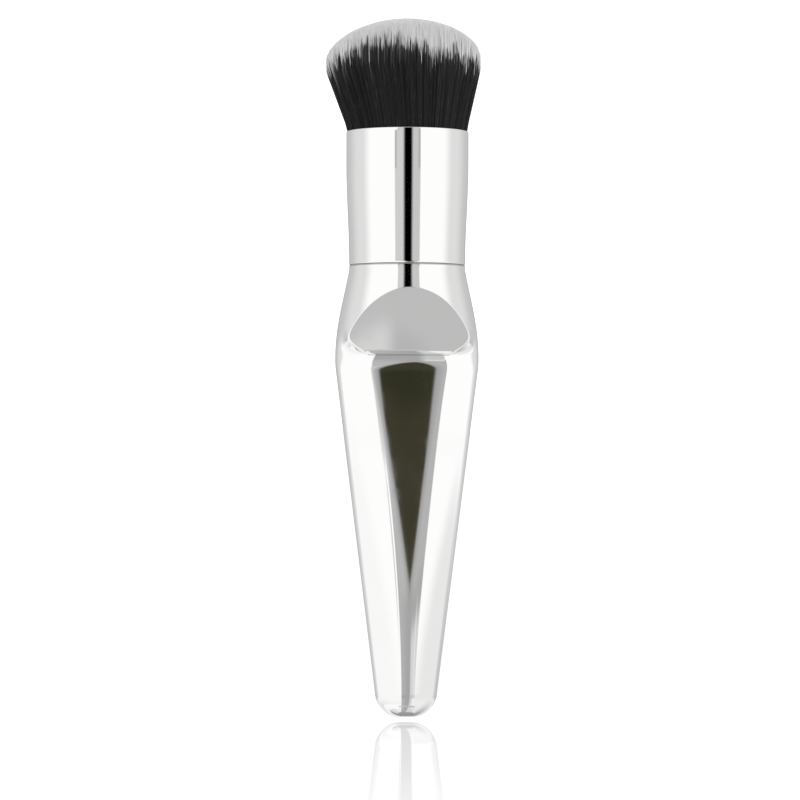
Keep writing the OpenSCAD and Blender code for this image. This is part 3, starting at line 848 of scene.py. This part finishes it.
streak.noise_dimensions = "2D"
streak.inputs["Detail"].default_value = 1.0
streak.inputs["Scale"].default_value = 1.0
where = joined(tree, "XYZ", (cell * streak_across, down * streak_along))
plug(tree, where, streak.inputs["Vector"])
streak = Wire(tree, streak.outputs["Fac"])
blackness = black + chance(41.9) * black_spread + streak.step(*streak_at) * streak_gain
paleness = pale + chance(53.3) * pale_spread
half_dyed = chance(71.3) ** half_dyed_rare * (down - dye).step(*half_dyed_at)
value = blend(paleness, blackness + half_dyed, dark)
plug(tree, joined(tree, "Color", [value * share for share in hair_tint]), principled.inputs["Base Color"])
plug(tree, hair_rough + chance(61.7) * hair_rough_spread, principled.inputs["Roughness"])
principled.inputs["Specular IOR Level"].default_value = hair_specular

# One filament per number: a point, a thin cylinder on it, and then each corner moved to its place
flow = Flow("tuft_filaments", {
    "First": 0, "Stride": 1, "Count": 100, "Total": filament_total, "Segments": 2, "Length": 5.0,
    "Thickness": filament_d, "Rim height": rim_z, "Rim radius": rim_r, "Tuft radius": tuft_r,
    "Flare height": flare_h, "Hair height": hair_out, "Slant": top_slant_h, "Side": top_side_h,
    "Crown": top_crown_h, "Shoulder": shoulder_round_h, "Lean": tuft_lean, "Wander": 0.12, "Seed": 7,
})
g = flow.given
index = flow.out(flow.node("GeometryNodeInputIndex")) * g("Stride") + g("First")


def drawn(low, high, offset):
    """A random number for each filament."""
    node = flow.node("FunctionNodeRandomValue", {"data_type": "FLOAT"})
    named = {s.identifier: s for s in node.inputs}
    named["Min_001"].default_value, named["Max_001"].default_value = low, high
    plug(flow.tree, index, named["ID"])
    plug(flow.tree, g("Seed") + float(offset), named["Seed"])
    return Wire(flow.tree, next(s for s in node.outputs if s.identifier == "Value_001"))


golden_turn, out_spread, bearing_spread, shuffle_cells = 2.39996323, 0.0016, 0.02, 4
share_out = ((index + 0.5) / g("Total")).math("SQRT") + drawn(-out_spread, out_spread, 1)
bearing = index * golden_turn + drawn(-bearing_spread, bearing_spread, 2) / share_out.most(0.05)
seeds = flow.node("GeometryNodePoints", Count=g("Count"))
keep = flow.node("GeometryNodeCaptureAttribute")
traits = {"share": share_out.least(1.0), "bearing": bearing, "sway": drawn(-1, 1, 3),
          "push": drawn(-1, 1, 4), "spin": drawn(0, 2 * math.pi, 5), "trim": drawn(0, 1, 6),
          "shuffle": drawn(-shuffle_cells, shuffle_cells, 8)}
for label in traits:
    keep.capture_items.new("FLOAT", label)
keep.domain = "POINT"
flow.tree.links.new(seeds.outputs[0], keep.inputs[0])
for k, item in enumerate(traits.values()):
    plug(flow.tree, item, keep.inputs[k + 1])
kept = [flow.out(keep, k + 1) for k in range(len(traits))]
share_out, bearing, sway, push, spin, trim, shuffle = kept

strand = flow.node("GeometryNodeMeshCylinder", {"fill_type": "NGON"}, Vertices=3, Radius=1.0, Depth=1.0,
                   Side_Segments=g("Segments"))
shape = flow.node("GeometryNodeCaptureAttribute")
shape.capture_items.new("VECTOR", "shape")
flow.tree.links.new(strand.outputs["Mesh"], shape.inputs[0])
flow.tree.links.new(flow.node("GeometryNodeInputPosition").outputs[0], shape.inputs[1])
planted = flow.node("GeometryNodeInstanceOnPoints", Points=flow.out(keep), Instance=flow.out(shape))
real = flow.node("GeometryNodeRealizeInstances", Geometry=flow.out(planted))
lx, ly, lz = parts(flow.tree, shape.outputs[1])
along = lz + 0.5

# The dome's edge in this direction, then the filament's tip on the dome
shoulder_power, trim_h = 10.0, 0.25
cos_b, sin_b = bearing.math("COSINE"), bearing.math("SINE")
widening = (g("Tuft radius") - g("Rim radius")) / g("Flare height")
crown = g("Crown") / (g("Tuft radius") * g("Tuft radius"))
tilt = (cos_b * g("Slant") + sin_b * g("Side")) / g("Tuft radius")
crest = g("Slant") * g("Slant") / (g("Crown") * 4.0)
middle = g("Rim height") + g("Hair height") - crest
linear = 1.0 - widening * tilt
held = (g("Rim radius") + widening * (middle - g("Shoulder") - g("Rim height"))) * widening * crown * 4.0
edge_r = (((linear * linear + held).math("SQRT") - linear) / (widening * crown * 2.0)).least(g("Tuft radius"))
edge_z = middle - g("Shoulder") + tilt * edge_r - crown * edge_r * edge_r
tip_r = share_out * edge_r
dome_z = middle + tilt * tip_r - crown * tip_r * tip_r
drop = g("Shoulder") * (1.0 - (1.0 - share_out ** shoulder_power).most(0.0).math("SQRT"))
tip_z = dome_z - drop - trim * trim * trim_h
root_z = (tip_z - g("Length")).most(g("Rim height") - root_hidden)
height = blend(root_z, tip_z, along)
flare_room = (edge_z - g("Rim height")).least(g("Flare height"))
flared = ((height - g("Rim height")) / flare_room).most(0.0).least(1.0)
radius = share_out * blend(g("Rim radius"), edge_r, flared)
lean_way = ((height - g("Rim height")) / g("Flare height")).most(0.0).least(1.0)
# Neighbours sway together, and each a little by itself
group_scale, group_inward, own_inward, outward, group_sideways = 0.55, 2.4, 0.8, 0.6, 3.6
grouping = flow.node("ShaderNodeTexNoise")
grouping.inputs["Scale"].default_value = 1.0
grouping.inputs["Detail"].default_value = 1.0
where = joined(flow.tree, "XYZ", (tip_r * sin_b * group_scale, tip_r * cos_b * group_scale))
plug(flow.tree, where, grouping.inputs["Vector"])
together_in, together_aside, _ = parts(flow.tree, grouping.outputs["Color"])
bent = along * along * lean_way * g("Wander")
inward = (together_in - 0.5) * group_inward + push * own_inward - outward
sideways = (together_aside - 0.5) * group_sideways + sway
radius = radius + bent * inward
slide = bent * sideways
full_part = ((tip_z - height) / filament_taper_h).step(0.0, 1.0)
thick = g("Thickness") * 0.5 * blend(filament_tip_share, 1.0, full_part)
cos_s, sin_s = spin.math("COSINE"), spin.math("SINE")
x = radius * sin_b + slide * cos_b - g("Lean") * lean_way + thick * (lx * cos_s - ly * sin_s)
y = slide * sin_b - radius * cos_b + thick * (lx * sin_s + ly * cos_s)
placed = joined(flow.tree, "XYZ", (x * MM, y * MM, height * MM))
moved = flow.node("GeometryNodeSetPosition", Geometry=flow.out(real), Position=placed)

# Chart: the middle half of a narrow cell round the tuft for a filament, and the depth below the dome
strand_side = 1.7321  # of the cylinder's three-sided section, with a radius of 1
turn_share = (bearing / (2 * math.pi) + 0.5).math("FRACT")
own_cell = ((turn_share * hair_cells + shuffle) / hair_cells).math("FRACT")
own_cell = (own_cell * hair_cells).math("FLOOR")
u = (own_cell + 0.25 + (ly / strand_side + 0.5) * 0.5) / hair_cells
v = ((dome_z - height) / hair_chart).most(chart_least).least(chart_most)
stored = flow.node("GeometryNodeStoreNamedAttribute", {"data_type": "FLOAT2", "domain": "CORNER"},
                   Geometry=flow.out(moved), Name="OFBake")
value_place = next(s for s in stored.inputs if s.name == "Value" and s.enabled)
plug(flow.tree, joined(flow.tree, "XYZ", (u, v)), value_place)
flow.finish(flow.out(stored), hair_material)

# The inner filaments show only their tips, so they are short. The outer ones reach into the ferrule
hair = []
for layer, first, total, pieces, length, segments in (
    ("inner", 0, outer_first, 4, 5.0, 2),
    ("outer", outer_first, filament_total - outer_first, 3, 40.0, 6),
):
    for k in range(pieces):
        hair.append(flow.grow(f"hair_{layer}_{k + 1}", First=first + k, Stride=pieces,
                              Count=total // pieces, Segments=segments, Length=length))

# The mass of hair behind the outer filaments, which no light gets through
mass_columns, mass_rows, mass_top_share = 72, 12, 0.05
angles = np.radians(np.arange(mass_columns) * 360 / mass_columns)
crest = top_crown_h * (top_slant_h / (2 * top_crown_h)) ** 2
mass_inset, mass_drop = 0.5, 0.5


def dome(x, y):
    return (rim_z + hair_out - crest + (x * top_side_h - y * top_slant_h) / tuft_r
            - top_crown_h * (x * x + y * y) / tuft_r**2)


edge = np.full(len(angles), tuft_r)
for _ in range(solver_passes):
    edge_h = dome(edge * np.sin(angles), -edge * np.cos(angles)) - shoulder_round_h
    edge = rim_r + (tuft_r - rim_r) * np.clip((edge_h - rim_z) / flare_h, 0, 1)
edge_h = dome(edge * np.sin(angles), -edge * np.cos(angles)) - shoulder_round_h
mass = []
for t in np.linspace(0, 1, mass_rows):
    z = (rim_z - root_hidden) + (edge_h - mass_drop - rim_z + root_hidden) * t
    way = np.clip((z - rim_z) / flare_h, 0, 1)
    r = rim_r + (tuft_r - rim_r) * way - mass_inset
    mass.append(np.stack([r * np.sin(angles) - tuft_lean * way, -r * np.cos(angles), z], -1))
for s in np.linspace(1, mass_top_share, mass_rows)[1:]:
    x, y = (edge - mass_inset) * s * np.sin(angles), -(edge - mass_inset) * s * np.cos(angles)
    z = dome(x, y) - mass_drop - shoulder_round_h * (1 - np.sqrt(1 - s**shoulder_power))
    mass.append(np.stack([x - tuft_lean, y, z], -1))
hair_mass = shell("hair_mass", np.array(mass), sharp=60)
points = np.empty(len(hair_mass.data.vertices) * 3, np.float32)
hair_mass.data.vertices.foreach_get("co", points)
points = points.reshape(-1, 3) / MM
corner_points = np.empty(len(hair_mass.data.loops), np.int32)
hair_mass.data.loops.foreach_get("vertex_index", corner_points)
x, y, z = points[corner_points].T
turn_share = np.arctan2(x + tuft_lean * np.clip((z - rim_z) / flare_h, 0, 1), -y) / (2 * np.pi) + 0.5
# A face across the chart's end keeps its corners on one side of it
for polygon in hair_mass.data.polygons:
    corners = slice(polygon.loop_start, polygon.loop_start + polygon.loop_total)
    if np.ptp(turn_share[corners]) > 0.5:
        turn_share[corners] += np.where(turn_share[corners] < 0.5, 1, 0)
depth_share = np.clip((dome(x, y) - z) / hair_chart, chart_least, chart_most)
chart_points = np.stack([turn_share, depth_share], -1)
hair_mass.data.uv_layers.new(name="OFBake").data.foreach_set("uv", chart_points.astype(np.float32).ravel())
hair_mass.data.materials.append(hair_material)
for piece in (*hair, hair_mass):
    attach(piece, "root")
    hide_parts("bristle_tuft")


# ---- Thread, plug, glue, stopper and rod
# What holds the brush together inside: twisted thread tied round the hair's roots, a cast epoxy plug, cured
# glue in the tenon's grooves, and in the handle's core a turned steel rod behind a moulded stopper. The CAD
# solids stay, each with its own finish.
def inner_finish(node, name, colours, scale, roughness, bump_height, stretch=None, metallic=0.0):
    """A grained material in two colours for a solid of the CAD."""
    material, tree, principled = material_of(name)
    place = tree.nodes.new("ShaderNodeTexCoord").outputs["Object"]
    grain = noise(tree, place, scale, 4.0, 0.6, stretch=stretch)
    colour = mixed(tree, grain.step(0.3, 0.7), (*colours[0], 1), (*colours[1], 1))
    plug(tree, colour, principled.inputs["Base Color"])
    plug(tree, roughness[0] + grain * (roughness[1] - roughness[0]), principled.inputs["Roughness"])
    principled.inputs["Metallic"].default_value = metallic
    bump = tree.nodes.new("ShaderNodeBump")
    bump.inputs["Distance"].default_value = bump_height
    plug(tree, grain, bump.inputs["Height"])
    tree.links.new(bump.outputs["Normal"], principled.inputs["Normal"])
    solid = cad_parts[node]
    solid.data.materials.clear()
    solid.data.materials.append(material)


inner_finish("counterweight", "turned_steel", [(0.42, 0.43, 0.45), (0.60, 0.61, 0.63)],
             scale=1.0, stretch=(300, 300, 5200), roughness=(0.22, 0.4), metallic=1.0, bump_height=0.00002)
inner_finish("core_stopper", "moulded_stopper", [(0.03, 0.03, 0.032), (0.05, 0.05, 0.052)],
             scale=1800.0, roughness=(0.45, 0.6), bump_height=0.00003)
inner_finish("tenon_adhesive", "amber_glue", [(0.62, 0.50, 0.26), (0.74, 0.64, 0.40)],
             scale=260.0, roughness=(0.15, 0.3), bump_height=0.0001)
inner_finish("root_plug", "cured_epoxy", [(0.42, 0.30, 0.12), (0.55, 0.43, 0.22)],
             scale=220.0, roughness=(0.12, 0.28), bump_height=0.0001)
inner_finish("binding_thread", "twisted_thread", [(0.66, 0.62, 0.52), (0.86, 0.83, 0.75)],
             scale=1.0, stretch=(2600, 2600, 900), roughness=(0.7, 0.9), bump_height=0.0001)
